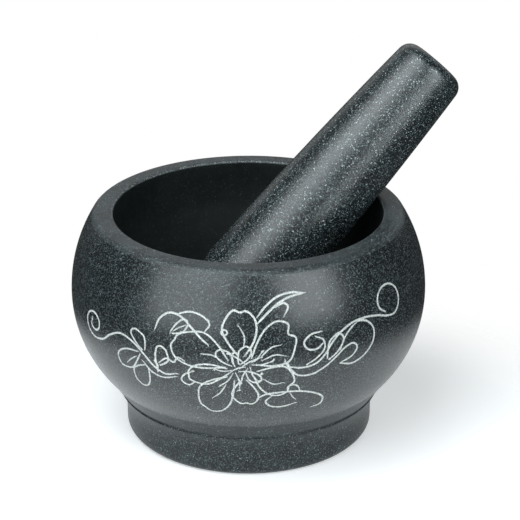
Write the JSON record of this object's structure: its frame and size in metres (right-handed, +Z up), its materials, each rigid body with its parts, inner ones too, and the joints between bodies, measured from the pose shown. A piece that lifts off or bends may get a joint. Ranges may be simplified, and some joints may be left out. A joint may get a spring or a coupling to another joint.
{
  "type": "stone mortar and pestle",
  "caption": "Round stone mortar turned with a foot and an engraved floral spray, with a loose tapered pestle leaning in its bowl for grinding.",
  "frame": {"origin": "centre of the foot's flat underside, on the axis that the mortar was turned about", "axes": "+Z up along the mortar's axis, +X to the side that the pestle mostly leans to, +Y away from the engraved front"},
  "size_m": [0.1634, 0.15, 0.1617],
  "materials": {
    "mortar_stone": "polished dark granite, honed on the rim and foot, frosted white in the engraved lines",
    "pestle_stone": "polished dark granite with coarser pale speckle"
  },
  "bodies": {
    "mortar": {"mortar": "mortar_stone"},
    "pestle": {"pestle": "pestle_stone"}
  },
  "joints": [
    {"name": "pestle_lift", "type": "slide", "parent": "mortar", "child": "pestle", "axis": [0, 0, 1], "range_m": [0, 0.12]}
  ]
}
